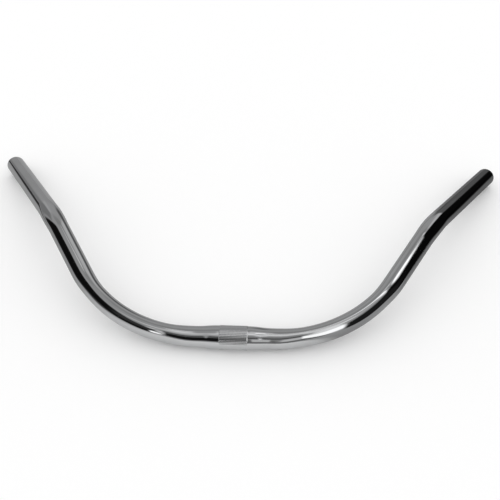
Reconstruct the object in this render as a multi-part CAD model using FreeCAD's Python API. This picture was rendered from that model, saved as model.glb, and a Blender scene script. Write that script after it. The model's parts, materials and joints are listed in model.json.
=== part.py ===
import FreeCAD, Part
import math
import os
from FreeCAD import Placement, Rotation, Vector

os.makedirs("parts", exist_ok=True)

# A swept-back cruiser handlebar: one steel tube, bulged at the middle for the stem
# clamp and bent four times. It lies as it comes to rest on a table: on the underside
# of its bulge and on the lower rims of its two grip ends.
# Origin at the middle of the clamp seat, +X along the clamp seat to the right grip,
# +Y towards the grip ends, +Z up. All sizes are in millimetres and degrees.

# Tube stock
tube_diameter = 22.2
tube_wall = 1.8
rim_rounding = 0.4

# Bulge for the stem clamp
clamp_diameter = 25.4
clamp_wall = 1.6
clamp_length = 28.0
bulge_taper_length = 26.0

# Straight runs, from the middle outwards
run_beside_bulge = 2.0
run_between_bends = 62.0
grip_run = 162.0

# Bends, measured on the centreline
sweep_bend_radius = 152.0
sweep_bend_angle = 57.5
elbow_bend_radius = 88.0
elbow_bend_angle = 28.5
roll_between_bends_angle = -98.0

# A bend squeezes the round tube: each share is what its section loses across the bend
# and gains along the bend's axis. It fades out over the last degrees at each end.
sweep_bend_flattening_ratio = 0.10
elbow_bend_flattening_ratio = 0.05
flattening_fade_angle = 12.0
section_step_angle = 3.0

# The search for the rest pose halves its range this many times.
steepest_tip_angle = 60.0
halving_count = 50

tube_radius = tube_diameter / 2
clamp_radius = clamp_diameter / 2
bore_radius = tube_radius - tube_wall
clamp_bore_radius = clamp_radius - clamp_wall
bend_start = clamp_length / 2 + bulge_taper_length + run_beside_bulge


# Places along the centreline. The local X of a place runs along the tube towards its
# end and the local Y points to the inside of the next bend.
def along(place, length):
    return place * Placement(Vector(length, 0, 0), Rotation())


def around(place, radius, angle):
    turn = math.radians(angle)
    reach = Vector(radius * math.sin(turn), radius * (1 - math.cos(turn)), 0)
    return place * Placement(reach, Rotation(Vector(0, 0, 1), angle))


def rolled(place, angle):
    return place * Placement(Vector(), Rotation(Vector(1, 0, 0), angle))


sweep_bend_start = Placement(Vector(bend_start, 0, 0), Rotation())
sweep_bend_end = around(sweep_bend_start, sweep_bend_radius, sweep_bend_angle)
elbow_start = rolled(along(sweep_bend_end, run_between_bends), roll_between_bends_angle)
elbow_end = around(elbow_start, elbow_bend_radius, elbow_bend_angle)
grip_end = along(elbow_end, grip_run)


# The bulge: clamp seat, an S-shaped taper of two equal arcs on each side, plain tube.
def taper_edges(start_x, end_x, start_radius, end_radius):
    length = end_x - start_x
    drop = start_radius - end_radius
    arc_radius = (length ** 2 + drop ** 2) / (4 * drop)
    half_turn = math.asin(length / (2 * arc_radius)) / 2
    step = arc_radius * math.sin(half_turn)
    sag = arc_radius * (1 - math.cos(half_turn))
    first = Vector(start_x, 0, start_radius)
    middle = Vector((start_x + end_x) / 2, 0, (start_radius + end_radius) / 2)
    last = Vector(end_x, 0, end_radius)
    upper = Part.Arc(first, Vector(start_x + step, 0, start_radius - sag), middle)
    lower = Part.Arc(middle, Vector(end_x - step, 0, end_radius + sag), last)
    return [upper.toShape(), lower.toShape()]


def bulge_body(seat_radius, end_radius):
    seat_end = clamp_length / 2
    taper_end = seat_end + bulge_taper_length
    seat = Part.makeLine(Vector(0, 0, seat_radius), Vector(seat_end, 0, seat_radius))
    taper = taper_edges(seat_end, taper_end, seat_radius, end_radius)
    run = Part.makeLine(Vector(taper_end, 0, end_radius), Vector(bend_start, 0, end_radius))
    end = Part.makeLine(Vector(bend_start, 0, end_radius), Vector(bend_start, 0, 0))
    axis = Part.makeLine(Vector(bend_start, 0, 0), Vector(0, 0, 0))
    middle = Part.makeLine(Vector(0, 0, 0), Vector(0, 0, seat_radius))
    outline = Part.Wire([seat] + taper + [run, end, axis, middle])
    return Part.Face(outline).revolve(Vector(0, 0, 0), Vector(1, 0, 0), 360)


def half_bulge():
    outer = bulge_body(clamp_radius, tube_radius)
    inner = bulge_body(clamp_bore_radius, bore_radius)
    return outer.cut(inner)


# A straight run of tube that starts at a place.
def straight_tube(place, length):
    outer = Part.makeCylinder(tube_radius, length, Vector(), Vector(1, 0, 0))
    inner = Part.makeCylinder(bore_radius, length, Vector(), Vector(1, 0, 0))
    tube = outer.cut(inner)
    tube.Placement = place
    return tube


def grip_tube(place, length):
    tube = straight_tube(Placement(), length)
    rims = [edge for edge in tube.Edges if edge.BoundBox.XMin > length / 2]
    tube = tube.makeFillet(rim_rounding, rims)
    tube.Placement = place
    return tube


# A bend: its section is an oval that fades to the round tube at both ends.
def oval_wire(place, radius, squeeze):
    along_axis = radius * (1 + squeeze)
    across_axis = radius * (1 - squeeze)
    oval = Part.Ellipse(Vector(), along_axis, across_axis)
    wire = Part.Wire([oval.toShape()])
    upright = Rotation(Vector(0, 0, 1), Vector(0, 1, 0), Vector(1, 0, 0), "XYZ")
    wire.Placement = place * Placement(Vector(), upright)
    return wire


def bend_body(start, bend_radius, bend_angle, radius, flattening):
    count = math.ceil(bend_angle / section_step_angle)
    sections = []
    for index in range(count + 1):
        angle = bend_angle * index / count
        to_end = min(angle, bend_angle - angle)
        fade = min(to_end / flattening_fade_angle, 1)
        squeeze = flattening * (1 - math.cos(math.pi * fade)) / 2
        sections.append(oval_wire(around(start, bend_radius, angle), radius, squeeze))
    return Part.makeLoft(sections, True)


def bent_tube(start, bend_radius, bend_angle, flattening):
    outer = bend_body(start, bend_radius, bend_angle, tube_radius, flattening)
    inner = bend_body(start, bend_radius, bend_angle, bore_radius, flattening)
    return outer.cut(inner)


# At rest the bar is tipped about the clamp axis until the lowest points of its grip
# ends are level with the underside of the bulge.
def grip_end_height(tip):
    tipped = Placement(Vector(), Rotation(Vector(1, 0, 0), tip)) * grip_end
    direction = tipped.Rotation.multVec(Vector(1, 0, 0))
    rim_centre = tipped.Base - direction * rim_rounding
    rim_drop = (tube_radius - rim_rounding) * math.sqrt(1 - direction.z ** 2)
    return rim_centre.z - rim_drop - rim_rounding


def rest_tip():
    low = 0.0
    high = steepest_tip_angle
    for halving in range(halving_count):
        middle = (low + high) / 2
        if grip_end_height(middle) < -clamp_radius:
            low = middle
        else:
            high = middle
    return (low + high) / 2


def right_half():
    pieces = [
        bent_tube(sweep_bend_start, sweep_bend_radius, sweep_bend_angle, sweep_bend_flattening_ratio),
        straight_tube(sweep_bend_end, run_between_bends),
        bent_tube(elbow_start, elbow_bend_radius, elbow_bend_angle, elbow_bend_flattening_ratio),
        grip_tube(elbow_end, grip_run),
    ]
    return half_bulge().fuse(pieces)


def handlebar_tube():
    right = right_half()
    left = right.mirror(Vector(0, 0, 0), Vector(1, 0, 0))
    bar = right.fuse(left).removeSplitter()
    bar.rotate(Vector(0, 0, 0), Vector(1, 0, 0), rest_tip())
    return bar


tube = handlebar_tube()
tube.exportStep("parts/handlebar_tube.step")

resting_grip_end = Placement(Vector(), Rotation(Vector(1, 0, 0), rest_tip())) * grip_end
grip_direction = resting_grip_end.Rotation.multVec(Vector(1, 0, 0))
box = tube.BoundBox
print("valid", tube.isValid(), "solids", len(tube.Solids), "faces", len(tube.Faces))
print("volume", round(tube.Volume / 1000, 2), "cm3")
print("rest tip", round(rest_tip(), 3), "grip end", resting_grip_end.Base, "towards", grip_direction)
print("box", box)
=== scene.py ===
import json
import math
import bpy
from mathutils import Matrix, Vector

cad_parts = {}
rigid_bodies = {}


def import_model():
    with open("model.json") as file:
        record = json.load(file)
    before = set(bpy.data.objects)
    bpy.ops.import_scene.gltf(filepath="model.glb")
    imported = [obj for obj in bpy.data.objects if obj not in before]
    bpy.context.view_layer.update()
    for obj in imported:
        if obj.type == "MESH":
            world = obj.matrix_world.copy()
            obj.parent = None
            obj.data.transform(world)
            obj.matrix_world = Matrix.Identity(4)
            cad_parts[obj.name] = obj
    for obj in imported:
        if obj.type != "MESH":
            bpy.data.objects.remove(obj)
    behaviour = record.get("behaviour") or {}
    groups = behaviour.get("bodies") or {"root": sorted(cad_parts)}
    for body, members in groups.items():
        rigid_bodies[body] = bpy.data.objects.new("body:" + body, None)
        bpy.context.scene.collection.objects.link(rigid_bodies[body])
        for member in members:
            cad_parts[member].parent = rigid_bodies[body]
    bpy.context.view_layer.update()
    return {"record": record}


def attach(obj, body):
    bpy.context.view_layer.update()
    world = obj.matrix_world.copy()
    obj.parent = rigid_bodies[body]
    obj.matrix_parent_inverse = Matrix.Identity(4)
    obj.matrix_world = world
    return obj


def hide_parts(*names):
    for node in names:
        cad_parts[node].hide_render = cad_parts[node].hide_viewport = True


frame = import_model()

# The bar's own sizes, in metres and degrees. The clamp seat, the grips and the bore come
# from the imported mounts. The bends in between are the same as in the part's source.
mounts = {mount["name"]: mount for mount in frame["record"]["mounts"]}
clamp = mounts["stem_clamp"]["dims"]
grip = mounts["right_grip_seat"]["dims"]
grip_direction = Vector(mounts["right_grip_seat"]["axis"])
CLAMP_RADIUS = clamp["r_mm"] / 1000
CLAMP_HALF = clamp["length_mm"] / 2000
TUBE_RADIUS = grip["r_mm"] / 1000
BORE_RADIUS = mounts["right_end_bore"]["dims"]["r_mm"] / 1000
RIM_ROUNDING = 0.0004
GRIP_RUN = grip["length_mm"] / 1000 + RIM_ROUNDING
TAPER = 0.026
RUN_BESIDE_BULGE = 0.002
RUN_BETWEEN_BENDS = 0.062
SWEEP_RADIUS = 0.152
SWEEP_ANGLE = 57.5
ELBOW_RADIUS = 0.088
ELBOW_ANGLE = 28.5
ROLL_BETWEEN_BENDS = -98.0
SWEEP_FLATTENING = 0.10
ELBOW_FLATTENING = 0.05
FADE_ANGLE = 12.0

# The knurl: straight ridges rolled into the clamp seat. It stands a little proud of the
# smooth seat on both sides, and each ridge has six points from crest to crest.
RIDGES = 52
POINTS_PER_RIDGE = 6
SECTION_POINTS = RIDGES * POINTS_PER_RIDGE
KNURL_HALF = 0.0141
KNURL_BEVEL = 0.0006
RIDGE_HEIGHT = 0.00014
SMOOTH_SEAT_RADIUS = CLAMP_RADIUS - 0.00024

TAPER_END = CLAMP_HALF + TAPER
TAPER_STEPS = 14
SWEEP_STEPS = 24
ELBOW_STEPS = 15
# A short step beside each edge keeps the long faces next to it shading straight.
EDGE_STEP = 0.0004
RUN_END_STEP = 0.003
RIM_SEGMENTS = 4

# The low bead along the weld, inside the bore.
BEAD_HALF_ANGLE = 3
BEAD_SQUEEZE = 0.97

# How near a point counts as being on a plane or at the same place.
ON_PLANE = 1e-6
SAME_PLACE = 1e-5

FLOOR = -CLAMP_RADIUS
FLOOR_SIZE = 14
# The sheet of painted table reflections lies just above the floor.
PAINTED_SHEET_SIZE = 14.2
PAINTED_SHEET_GAP = 0.0005
SURROUND_RADIUS = 8

# The painted dark reflection behind the right grip, drawn as a card that only the chrome sees: its
# place, and where its sloping top and its sides fade.
GRIP_REFLECTION_SIZE = 0.4
GRIP_REFLECTION_PLACE = (0.5, 0.85, 0.12)
GRIP_REFLECTION_SLOPE = 0.45
GRIP_REFLECTION_TOP_FADE = (-0.075, -0.045)
GRIP_REFLECTION_LEFT_FADE = (0.24, 0.36)
GRIP_REFLECTION_RIGHT_FADE = (0.64, 0.68)
GRIP_REFLECTION_BRIGHTNESS = 0.13


# Modelling
def deselect_everything():
    if bpy.context.mode != "OBJECT":
        bpy.ops.object.mode_set(mode="OBJECT")
    bpy.ops.object.select_all(action="DESELECT")


def edit(piece):
    deselect_everything()
    piece.select_set(True)
    bpy.context.view_layer.objects.active = piece
    bpy.ops.object.mode_set(mode="EDIT")


def select_vertices(piece, wanted):
    """Selects the vertices whose place passes the test, and leaves the piece in edit mode."""
    bpy.ops.object.mode_set(mode="EDIT")
    bpy.ops.mesh.select_mode(type="VERT")
    bpy.ops.mesh.select_all(action="DESELECT")
    bpy.ops.object.mode_set(mode="OBJECT")
    for vertex in piece.data.vertices:
        vertex.select = wanted(vertex.co)
    bpy.ops.object.mode_set(mode="EDIT")


def from_clamp_axis(point):
    return math.hypot(point.y, point.z)


def start_section():
    """The cut through the tube wall at the middle of the clamp seat: a flat ring."""
    bpy.ops.mesh.primitive_circle_add(
        vertices=SECTION_POINTS, radius=SMOOTH_SEAT_RADIUS, rotation=(0, math.radians(90), 0)
    )
    tube = bpy.context.object
    bpy.ops.object.transform_apply(location=True, rotation=True, scale=True)
    edit(tube)
    bpy.ops.mesh.select_all(action="SELECT")
    bpy.ops.mesh.extrude_region_move()
    bore = BORE_RADIUS / TUBE_RADIUS
    bpy.ops.transform.resize(value=(bore, bore, bore), center_override=(0, 0, 0))
    return tube


def roll_weld_bead(tube):
    """The seam that the tube was welded along leaves a low bead on the wall of its bore."""
    inner = SMOOTH_SEAT_RADIUS * BORE_RADIUS / TUBE_RADIUS
    bead_half = inner * math.radians(BEAD_HALF_ANGLE)
    select_vertices(
        tube, lambda p: from_clamp_axis(p) < inner * 1.01 and abs(p.y) < bead_half and p.z < 0
    )
    bpy.ops.transform.resize(value=(1, BEAD_SQUEEZE, BEAD_SQUEEZE), center_override=(0, 0, 0))


def straight(place, length):
    """Draws the selected cut out along the tube."""
    step = place.to_3x3() @ Vector((length, 0, 0))
    bpy.ops.mesh.extrude_region_move(TRANSFORM_OT_translate={"value": step})
    return place @ Matrix.Translation((length, 0, 0))


def straight_run(place, length):
    """Draws a long straight run, with a short step at each end."""
    place = straight(place, RUN_END_STEP)
    place = straight(place, length - 2 * RUN_END_STEP)
    return straight(place, RUN_END_STEP)


def taper(place):
    """Narrows the clamp seat to the plain tube along an S."""
    drop = SMOOTH_SEAT_RADIUS - TUBE_RADIUS
    radius = SMOOTH_SEAT_RADIUS
    length = TAPER_END - place.translation.x
    for index in range(1, TAPER_STEPS + 1):
        share = index / TAPER_STEPS
        fall = 2 * share ** 2 if share < 0.5 else 1 - 2 * (1 - share) ** 2
        place = straight(place, length / TAPER_STEPS)
        wanted = SMOOTH_SEAT_RADIUS - drop * fall
        shrink = wanted / radius
        bpy.ops.transform.resize(value=(1, shrink, shrink), center_override=place.translation)
        radius = wanted
    return place


def squeeze_at(angle, bend_angle, flattening):
    fade = min(min(angle, bend_angle - angle) / FADE_ANGLE, 1)
    return flattening * (1 - math.cos(math.pi * fade)) / 2


def bend(place, radius, bend_angle, flattening, steps):
    """Draws the selected cut round a bend and squeezes it to the oval of the bent tube."""
    centre = place @ Vector((0, radius, 0))
    axis = place.to_3x3() @ Vector((0, 0, 1))
    step = math.radians(bend_angle / steps)
    turn = Matrix.Rotation(step, 4, axis)
    turn = Matrix.Translation(centre) @ turn @ Matrix.Translation(-centre)
    last = 0.0
    for index in range(1, steps + 1):
        # With no window the spin turns the other way.
        bpy.ops.mesh.spin(steps=1, angle=-step, center=centre, axis=axis)
        place = turn @ place
        squeeze = squeeze_at(bend_angle * index / steps, bend_angle, flattening)
        across = (1 - squeeze) / (1 - last)
        along = (1 + squeeze) / (1 + last)
        bpy.ops.transform.resize(
            value=(1, across, along), orient_type="GLOBAL", orient_matrix=place.to_3x3(),
            orient_matrix_type="GLOBAL", center_override=place.translation,
        )
        last = squeeze
    return place


def round_the_rim():
    """Breaks the two sharp edges of the cut end, which is still selected."""
    bpy.ops.mesh.select_mode(type="EDGE")
    bpy.ops.mesh.region_to_loop()
    bpy.ops.mesh.bevel(offset=RIM_ROUNDING, segments=RIM_SEGMENTS, affect="EDGES")


def cut_off_start(tube):
    """Opens the middle of the bar, where the two halves meet."""
    select_vertices(tube, lambda p: abs(p.x) < ON_PLANE)
    bpy.ops.mesh.select_mode(type="FACE")
    bpy.ops.mesh.delete(type="FACE")
    bpy.ops.object.mode_set(mode="OBJECT")


def paint_bore(tube, rim_place):
    """Gives the wall of the bore its own finish, up to the rounding of the rim."""
    along = rim_place.to_3x3() @ Vector((1, 0, 0))
    rim_edge = along.dot(rim_place.translation) - RIM_ROUNDING / 2
    select_vertices(tube, lambda p: along.dot(p) > rim_edge)
    bpy.ops.mesh.select_mode(type="FACE")
    bpy.ops.mesh.hide()
    middle_of_wall = SMOOTH_SEAT_RADIUS * (1 + BORE_RADIUS / TUBE_RADIUS) / 2
    select_vertices(
        tube, lambda p: abs(p.x) < ON_PLANE and from_clamp_axis(p) < middle_of_wall
    )
    bpy.ops.mesh.select_linked()
    tube.active_material_index = 1
    bpy.ops.object.material_slot_assign()
    bpy.ops.mesh.reveal(select=False)
    bpy.ops.object.mode_set(mode="OBJECT")


def mirror_left_half(tube):
    deselect_everything()
    tube.select_set(True)
    bpy.context.view_layer.objects.active = tube
    halves = tube.modifiers.new("left half", "MIRROR")
    halves.use_axis = (True, False, False)
    halves.use_mirror_merge = True
    halves.merge_threshold = SAME_PLACE
    bpy.ops.object.modifier_apply(modifier=halves.name)


def roll_knurl(tube):
    """Raises the crests and sinks the valleys of the straight knurl."""
    pitch = 2 * math.pi / SECTION_POINTS
    turns = [2 * math.pi * number / POINTS_PER_RIDGE for number in range(POINTS_PER_RIDGE)]
    heights = [
        round(CLAMP_RADIUS - RIDGE_HEIGHT * (1 - math.cos(turn)) / 2, 7) for turn in turns
    ]
    for wanted in sorted(set(heights)):
        def on_ridge(point):
            beside_knurl = abs(point.x) > KNURL_HALF + SAME_PLACE
            in_bore = from_clamp_axis(point) < 0.98 * SMOOTH_SEAT_RADIUS
            if beside_knurl or in_bore:
                return False
            number = round(math.atan2(point.z, point.y) / pitch) % POINTS_PER_RIDGE
            return heights[number] == wanted
        select_vertices(tube, on_ridge)
        size = wanted / SMOOTH_SEAT_RADIUS
        bpy.ops.transform.resize(value=(1, size, size), center_override=(0, 0, 0))
    bpy.ops.object.mode_set(mode="OBJECT")


def tip_to_rest(tube, built_direction):
    """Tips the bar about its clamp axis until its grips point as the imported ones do."""
    built = math.atan2(built_direction.z, built_direction.y)
    packed = math.atan2(grip_direction.z, grip_direction.y)
    tube.rotation_euler.x = packed - built
    bpy.ops.object.transform_apply(location=True, rotation=True, scale=True)


def bent_bar():
    tube = start_section()
    roll_weld_bead(tube)
    bpy.ops.mesh.select_all(action="SELECT")
    place = Matrix.Identity(4)
    for length in (KNURL_HALF - EDGE_STEP, EDGE_STEP, KNURL_BEVEL, EDGE_STEP):
        place = straight(place, length)
    place = taper(place)
    place = straight(place, RUN_BESIDE_BULGE)
    place = bend(place, SWEEP_RADIUS, SWEEP_ANGLE, SWEEP_FLATTENING, SWEEP_STEPS)
    place = straight_run(place, RUN_BETWEEN_BENDS)
    place = place @ Matrix.Rotation(math.radians(ROLL_BETWEEN_BENDS), 4, "X")
    place = bend(place, ELBOW_RADIUS, ELBOW_ANGLE, ELBOW_FLATTENING, ELBOW_STEPS)
    rim_step = RIM_ROUNDING + EDGE_STEP
    place = straight_run(place, GRIP_RUN - rim_step)
    place = straight(place, rim_step)
    round_the_rim()
    cut_off_start(tube)
    tube.data.materials.append(chrome_plate())
    tube.data.materials.append(bore_steel())
    paint_bore(tube, place)
    mirror_left_half(tube)
    roll_knurl(tube)
    tip_to_rest(tube, place.to_3x3() @ Vector((1, 0, 0)))
    return tube


# Materials
class Nodes:
    """A short way to build a material's nodes."""

    def __init__(self, tree):
        self.tree = tree

    def add(self, kind, settings=None, **inputs):
        node = self.tree.nodes.new(kind)
        for name, value in (settings or {}).items():
            setattr(node, name, value)
        for name, value in inputs.items():
            key = int(name[1:]) if name[0] == "_" and name[1:].isdigit() else name.replace("_", " ")
            self.put(value, node.inputs[key])
        return node

    def put(self, value, socket):
        if isinstance(value, bpy.types.NodeSocket):
            self.tree.links.new(value, socket)
        else:
            socket.default_value = value

    def math(self, operation, *values):
        numbered = {f"_{index}": value for index, value in enumerate(values)}
        return self.add("ShaderNodeMath", {"operation": operation}, **numbered).outputs[0]

    def smooth(self, value, low, high, to_low=0.0, to_high=1.0):
        """Rises smoothly from to_low to to_high while the value goes from low to high."""
        return self.add(
            "ShaderNodeMapRange", {"interpolation_type": "SMOOTHSTEP"},
            Value=value, From_Min=low, From_Max=high, To_Min=to_low, To_Max=to_high,
        ).outputs[0]

    def noise(self, place, scale, detail=3.0, roughness=0.5):
        return self.add(
            "ShaderNodeTexNoise", None,
            Vector=place, Scale=scale, Detail=detail, Roughness=roughness,
        ).outputs["Fac"]


def new_material(name):
    material = bpy.data.materials.new(name)
    material.use_nodes = True
    material.node_tree.nodes.clear()
    nodes = Nodes(material.node_tree)
    output = nodes.add("ShaderNodeOutputMaterial")
    return material, nodes, output


def chrome_plate():
    material, nodes, output = new_material("chrome plate")
    place = nodes.add("ShaderNodeTexCoord").outputs["Object"]
    x = nodes.math("ABSOLUTE", nodes.add("ShaderNodeSeparateXYZ", None, Vector=place).outputs["X"])
    knurl = nodes.smooth(x, KNURL_HALF - 0.0002, KNURL_HALF + 0.0004, 1.0, 0.0)
    smear = nodes.smooth(nodes.noise(place, 38, 4), 0.42, 0.72)
    grain = nodes.noise(place, 900, 2)
    polish = nodes.math("MULTIPLY_ADD", smear, 0.03, 0.035)
    polish = nodes.math("MULTIPLY_ADD", grain, 0.02, polish)
    roughness = nodes.add(
        "ShaderNodeMix", {"data_type": "FLOAT"}, Factor=knurl, A=polish, B=0.11
    ).outputs[0]
    tone = nodes.add("ShaderNodeMix", {"data_type": "RGBA"})
    nodes.put(smear, tone.inputs["Factor"])
    tone.inputs[6].default_value = (0.500, 0.505, 0.512, 1)
    tone.inputs[7].default_value = (0.478, 0.482, 0.486, 1)
    waves = nodes.add(
        "ShaderNodeBump", None, Strength=1.0, Distance=0.00005, Height=nodes.noise(place, 60, 1)
    ).outputs[0]
    shader = nodes.add(
        "ShaderNodeBsdfPrincipled", None, Base_Color=tone.outputs[2], Metallic=1.0,
        Roughness=roughness, Normal=waves,
    )
    nodes.put(shader.outputs[0], output.inputs["Surface"])
    return material


def bore_steel():
    """The wall inside the tube: the plating thins out past the mouth and leaves dull steel."""
    material, nodes, output = new_material("bore steel")
    place = nodes.add("ShaderNodeTexCoord").outputs["Object"]
    bore = mounts["right_end_bore"]
    axis = Vector(bore["axis"])
    mouth = Vector(bore["pos_m"]) + axis * bore["dims"]["length_mm"] / 2000
    right_side = nodes.add("ShaderNodeVectorMath", {"operation": "ABSOLUTE"}, _0=place).outputs[0]
    side = nodes.add("ShaderNodeSeparateXYZ", None, Vector=right_side).outputs["X"]
    parts = nodes.add("ShaderNodeSeparateXYZ", None, Vector=place)
    folded = nodes.add(
        "ShaderNodeCombineXYZ", None, X=side, Y=parts.outputs["Y"], Z=parts.outputs["Z"]
    ).outputs[0]
    reach = nodes.add("ShaderNodeVectorMath", {"operation": "DOT_PRODUCT"}, _0=folded, _1=axis)
    depth = nodes.math("SUBTRACT", axis.dot(mouth), reach.outputs["Value"])
    blotches = nodes.smooth(nodes.noise(place, 90, 5, 0.6), 0.35, 0.7)
    edge = nodes.math("MULTIPLY_ADD", blotches, 0.006, depth)
    bare = nodes.smooth(edge, 0.006, 0.022)
    steel = nodes.add("ShaderNodeMix", {"data_type": "RGBA"})
    nodes.put(blotches, steel.inputs["Factor"])
    steel.inputs[6].default_value = (0.19, 0.185, 0.18, 1)
    steel.inputs[7].default_value = (0.11, 0.095, 0.08, 1)
    tone = nodes.add("ShaderNodeMix", {"data_type": "RGBA"})
    nodes.put(bare, tone.inputs["Factor"])
    tone.inputs[6].default_value = (0.48, 0.482, 0.486, 1)
    nodes.put(steel.outputs[2], tone.inputs[7])
    grain = nodes.add(
        "ShaderNodeBump", None, Strength=0.5, Distance=0.0001, Height=nodes.noise(place, 600, 4)
    ).outputs[0]
    shader = nodes.add(
        "ShaderNodeBsdfPrincipled", None, Base_Color=tone.outputs[2], Metallic=1.0,
        Roughness=nodes.smooth(bare, 0, 1, 0.12, 0.5), Normal=grain,
    )
    nodes.put(shader.outputs[0], output.inputs["Surface"])
    return material


# Studio
def seen_only_in_reflections(piece):
    piece.visible_camera = False
    piece.visible_diffuse = False
    piece.visible_transmission = False
    piece.visible_volume_scatter = False
    piece.visible_shadow = False


# Painted reflections: a glowing dome that only the chrome sees, whose zones stand for what stands
# round the table, as the chrome sees it from the bar. Azimuth is in degrees from straight away (+Y)
# through right (+X). Each entry: name, azimuth from, to and softness, elevation from, to and
# softness, the azimuth that a straight top edge faces (None where the edge stays at one elevation),
# and brightness.
# The values are rounded, and were set so that the reflections in the bar lie as they do in the
# photograph. Later entries cover earlier ones.
PAINTED_STUDIO_REFLECTIONS = (
    ("wall, left end", 290, 316, 4, -20, 43, 4, None, 0.29),
    ("wall, bright fold", 317, 330, 4, 14, 42, 6, None, 0.59),
    ("wall, top", 320, 372, 5, 47, 70, 5, None, 0.385),
    ("wall, right end", 15, 34, 5, 24, 53, 4, None, 0.74),
    ("low shelf at the right", 2, 40, 5, -6, 22, 3, None, 0.15),
    ("ceiling", 86, 300, 6, 68, 100, 5, None, 0.84),
    ("ceiling over the back", -10, 90, 6, 71, 100, 2, None, 0.60),
    ("ceiling over the wall", 262, 350, 6, 67, 82, 3, None, 0.48),
    ("ceiling at the right", 92, 122, 5, 67, 79, 3, None, 0.62),
    ("ceiling by the window", 122, 148, 5, 62, 82, 5, None, 1.20),
    ("ceiling over the stand", 164, 193, 4, 64, 79, 4, None, 0.50),
    ("top of the tent", -200, 560, 1, 83, 100, 2, None, 1.15),
    ("lamp shade", -2, 27, 4, 62.5, 69.5, 1.5, None, 0.98),
    ("strip lamp, thin end", -30, 24, 5, 74.6, 78.6, 1, None, 1.40),
    ("strip lamp", 20, 76, 4, 73.2, 78.8, 1.3, 32, 2.10),
    ("strip lamp, far end", 76, 96, 5, 73.2, 79.5, 2, 32, 1.25),
    ("right curtain", 33, 106, 3, -20, 71, 2, 40, 0.004),
    ("right curtain, front", 100, 139.5, 3, -20, 59, 8, 76, 0.018),
    ("haze over the table", 139, 206, 4, -20, 5, 5, None, 0.50),
    ("haze at the left", 205, 300, 5, -20, 3, 4, None, 0.26),
    ("wall beside the window", 139, 188, 1.5, 6, 50, 4, None, 0.34),
    ("shade above the stand", 165, 208, 2, 44, 57, 4, None, 0.12),
    ("window", 139.7, 166.8, 1.5, 6, 46, 5, None, 1.95),
    ("window, upper pane", 138.5, 160, 2.5, 48, 68, 3, None, 1.25),
    ("shade, upper edge", 155, 190, 2, 58, 68, 3, None, 0.32),
    ("window, foot", 139.7, 166, 1.2, -6, 6, 5, None, 0.90),
    ("desk before the window", 143, 186, 2, -20, 46.8, 3, 235, 0.22),
    ("pale sheet on the desk", 166, 178.3, 1.5, 16, 40, 5, None, 0.80),
    ("dark stand", 185.5, 203, 1.5, 9, 43, 4, None, 0.010),
    ("left curtain", 209, 285, 3, 2, 63.5, 4.5, 280, 0.008),
    ("left curtain, front", 209, 235, 5, 22, 48, 9, None, 0.055),
    ("narrow window, foot", 204.8, 211.5, 1.3, 6, 22, 4, None, 1.90),
    ("narrow window", 202.4, 207.4, 1.5, 17, 36, 3, None, 0.80),
    ("narrow window, middle", 205.2, 210, 1.2, 36, 47, 2.5, None, 1.05),
    ("narrow window, top", 212.5, 217.5, 2, 44, 58, 4, None, 0.90),
)


# The table as the chrome sees it, with painted reflections: each painted patch has its brightness
# and its edges.
PAINTED_TABLE_REFLECTIONS = (
    # behind the clamp
    (0.46, ((0, 1, 0.00, 0.08),)),
    (0.68, ((0, 1, 0.00, 0.08), (1, 0, 0.17, 0.26))),
    (0.62, ((0, 1, 0.10, 0.24), (1, 0, 0.19, 0.29))),
    (0.15, ((0, 1, 0.00, 0.08), (1, 0, 0.26, 0.80))),
    # the foot of the right curtain
    (0.03, ((0, 1, 0.17, 0.27), (1, -0.25, 0.29, 0.37))),
    # a dark stripe away from the left grip
    (0.09, ((-1, 0, 0.42, 0.50), (1, 1.25, -0.38, -0.24), (-1, -1.25, -0.12, -0.05))),
    # in front of the right bend
    (0.48, ((0, -1, -0.08, 0.00), (1, 0, 0.09, 0.12))),
    (0.03, ((0, -1, 0.01, 0.055), (1, 0.9, 0.10, 0.145), (1, 0, 0.18, 0.23))),
    # in front of the left bend
    (0.55, ((0, -1, -0.08, 0.00), (-1, 0, 0.10, 0.32))),
    (0.18, ((0, -1, 0.01, 0.05), (-1, 1, 0.18, 0.30))),
)


# Painted reflections: a dome that only the chrome sees, glowing with the zones above.
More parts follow.
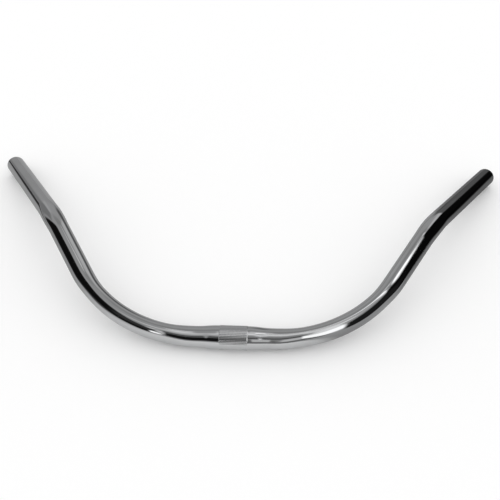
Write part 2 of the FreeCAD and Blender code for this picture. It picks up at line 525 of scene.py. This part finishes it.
def painted_reflection_dome():
    bpy.ops.object.select_all(action="DESELECT")
    bpy.ops.mesh.primitive_uv_sphere_add(segments=96, ring_count=48, radius=SURROUND_RADIUS)
    dome = bpy.context.object
    dome.name = "painted_reflection_dome"
    bpy.ops.object.shade_smooth()
    material, nodes, output = new_material("painted reflection dome")
    place = nodes.add("ShaderNodeTexCoord").outputs["Object"]
    way = nodes.add("ShaderNodeVectorMath", {"operation": "NORMALIZE"}, _0=place).outputs[0]
    parts = nodes.add("ShaderNodeSeparateXYZ", None, Vector=way)
    right, away, up = parts.outputs["X"], parts.outputs["Y"], parts.outputs["Z"]
    azimuth = nodes.math("DEGREES", nodes.math("ARCTAN2", right, away))
    azimuth = nodes.math("WRAP", azimuth, 360.0, 0.0)
    elevation = nodes.math("DEGREES", nodes.math("ARCSINE", up))
    light = nodes.smooth(elevation, 4, 26, 0.42, 0.50)
    for zone in PAINTED_STUDIO_REFLECTIONS:
        left, right_end, side_soft, low, high, end_soft, facing, brightness = zone[1:]
        height = elevation
        if facing is not None:
            toward = (math.sin(math.radians(facing)), math.cos(math.radians(facing)), 0)
            ahead = nodes.add(
                "ShaderNodeVectorMath", {"operation": "DOT_PRODUCT"}, _0=way, _1=toward
            )
            height = nodes.math("DEGREES", nodes.math("ARCTAN2", up, ahead.outputs["Value"]))
        # A zone that passes straight away is drawn on an azimuth that runs on through 0.
        start = min(left - side_soft, 0) if right_end <= 360 else 180
        turned = nodes.math("WRAP", azimuth, start + 360.0, float(start))
        mask = nodes.smooth(turned, left - side_soft, left + side_soft)
        for edge in (
            nodes.smooth(turned, right_end - side_soft, right_end + side_soft, 1, 0),
            nodes.smooth(height, low - end_soft, low + end_soft),
            nodes.smooth(height, high - end_soft, high + end_soft, 1, 0),
        ):
            mask = nodes.math("MULTIPLY", mask, edge)
        light = nodes.add(
            "ShaderNodeMix", {"data_type": "FLOAT"}, Factor=mask, A=light, B=brightness
        ).outputs[0]
    shader = nodes.add("ShaderNodeEmission", None, Strength=light)
    nodes.put(shader.outputs[0], output.inputs["Surface"])
    material.cycles.emission_sampling = "NONE"
    dome.data.materials.append(material)
    seen_only_in_reflections(dome)


def painted_table_reflection():
    """Painted reflections of the table: grey and black patches, drawn as cloth over parts of the
    white table, which only the chrome sees.
    """
    bpy.ops.object.select_all(action="DESELECT")
    bpy.ops.mesh.primitive_plane_add(size=PAINTED_SHEET_SIZE, location=(0, 0, FLOOR + PAINTED_SHEET_GAP))
    painted_sheet = bpy.context.object
    painted_sheet.name = "painted_table_sheet"
    bpy.ops.object.transform_apply(location=True, rotation=True, scale=True)
    material, nodes, output = new_material("painted table reflection")
    place = nodes.add("ShaderNodeTexCoord").outputs["Object"]
    parts = nodes.add("ShaderNodeSeparateXYZ", None, Vector=place)
    right, away = parts.outputs["X"], parts.outputs["Y"]

    # Each patch: how bright it leaves the table, and the edges that bound it. An edge is a
    # line across the table, given as shares of right and away, with where it begins and ends.
    light = 1.0
    for darkest, edges in PAINTED_TABLE_REFLECTIONS:
        mask = 1.0
        for across, along, begins, ends in edges:
            line = nodes.math("MULTIPLY_ADD", away, along, nodes.math("MULTIPLY", right, across))
            mask = nodes.math("MULTIPLY", mask, nodes.smooth(line, begins, ends))
        # Each patch darkens the table's reflection in the chrome: painted reflection.
        shade = nodes.math("MULTIPLY_ADD", mask, darkest - 1, 1.0)
        light = nodes.math("MULTIPLY", light, shade)
    dark = nodes.add("ShaderNodeEmission", None, Strength=0.0)
    clear = nodes.add("ShaderNodeBsdfTransparent")
    mix = nodes.add("ShaderNodeMixShader", None, Fac=light)
    nodes.put(dark.outputs[0], mix.inputs[1])
    nodes.put(clear.outputs[0], mix.inputs[2])
    nodes.put(mix.outputs[0], output.inputs["Surface"])
    material.cycles.emission_sampling = "NONE"
    painted_sheet.data.materials.append(material)
    seen_only_in_reflections(painted_sheet)


def painted_grip_reflection():
    """Painted dark reflection: a card behind the right grip, with a sloping top edge, that only the
    chrome sees.
    """
    bpy.ops.object.select_all(action="DESELECT")
    bpy.ops.mesh.primitive_plane_add(
        size=GRIP_REFLECTION_SIZE, location=GRIP_REFLECTION_PLACE, rotation=(math.radians(90), 0, 0)
    )
    reflection_card = bpy.context.object
    reflection_card.name = "painted_grip_reflection"
    bpy.ops.object.transform_apply(location=True, rotation=True, scale=True)
    material, nodes, output = new_material("painted dark reflection")
    place = nodes.add("ShaderNodeTexCoord").outputs["Object"]
    parts = nodes.add("ShaderNodeSeparateXYZ", None, Vector=place)
    right, up = parts.outputs["X"], parts.outputs["Z"]
    above_slope = nodes.math("MULTIPLY_ADD", right, -GRIP_REFLECTION_SLOPE, up)
    mask = nodes.smooth(above_slope, *GRIP_REFLECTION_TOP_FADE, 1, 0)
    mask = nodes.math("MULTIPLY", mask, nodes.smooth(right, *GRIP_REFLECTION_LEFT_FADE))
    mask = nodes.math("MULTIPLY", mask, nodes.smooth(right, *GRIP_REFLECTION_RIGHT_FADE, 1, 0))
    # The card's grey glow shows only as a painted dark reflection in the chrome.
    grey = nodes.add("ShaderNodeEmission", None, Strength=GRIP_REFLECTION_BRIGHTNESS)
    clear = nodes.add("ShaderNodeBsdfTransparent")
    mix = nodes.add("ShaderNodeMixShader", None, Fac=mask)
    nodes.put(clear.outputs[0], mix.inputs[1])
    nodes.put(grey.outputs[0], mix.inputs[2])
    nodes.put(mix.outputs[0], output.inputs["Surface"])
    material.cycles.emission_sampling = "NONE"
    reflection_card.data.materials.append(material)
    seen_only_in_reflections(reflection_card)


def pale_floor():
    bpy.ops.object.select_all(action="DESELECT")
    bpy.ops.mesh.primitive_plane_add(size=FLOOR_SIZE, location=(0, 0, FLOOR))
    floor = bpy.context.object
    floor.name = "floor"
    bpy.ops.object.transform_apply(location=True, rotation=True, scale=True)
    material, nodes, output = new_material("white table")
    shader = nodes.add("ShaderNodeBsdfDiffuse", None, Color=(1.0, 1.0, 1.0, 1))
    nodes.put(shader.outputs[0], output.inputs["Surface"])
    floor.data.materials.append(material)


def white_world():
    world = bpy.data.worlds.new("white studio")
    bpy.context.scene.world = world
    world.use_nodes = True
    background = world.node_tree.nodes["Background"]
    background.inputs["Color"].default_value = (1, 1, 1, 1)
    background.inputs["Strength"].default_value = 1.0


def photograph_camera():
    data = bpy.data.cameras.new("camera")
    camera = bpy.data.objects.new("camera", data)
    bpy.context.scene.collection.objects.link(camera)
    camera.location = (0.04908, -0.46205, 0.57542)
    camera.rotation_euler = (math.radians(46.433), math.radians(-0.309), math.radians(2.047))
    data.sensor_width = 36
    data.lens = 50.817
    data.shift_x = -0.0362
    data.shift_y = -0.0121
    data.clip_start = 0.01
    bpy.context.scene.camera = camera


# The bar, then what stands round it
handlebar = bent_bar()
handlebar.name = "handlebar"
handlebar.data.name = "handlebar"
edit(handlebar)
bpy.ops.mesh.select_all(action="SELECT")
bpy.ops.mesh.remove_doubles(threshold=ON_PLANE)
bpy.ops.mesh.normals_make_consistent(inside=False)
bpy.ops.object.mode_set(mode="OBJECT")
bpy.ops.object.shade_smooth_by_angle(angle=math.radians(40))
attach(handlebar, "root")
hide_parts("handlebar_tube")

pale_floor()
painted_table_reflection()
painted_grip_reflection()
painted_reflection_dome()
white_world()
photograph_camera()

bpy.context.scene.view_settings.view_transform = "Standard"
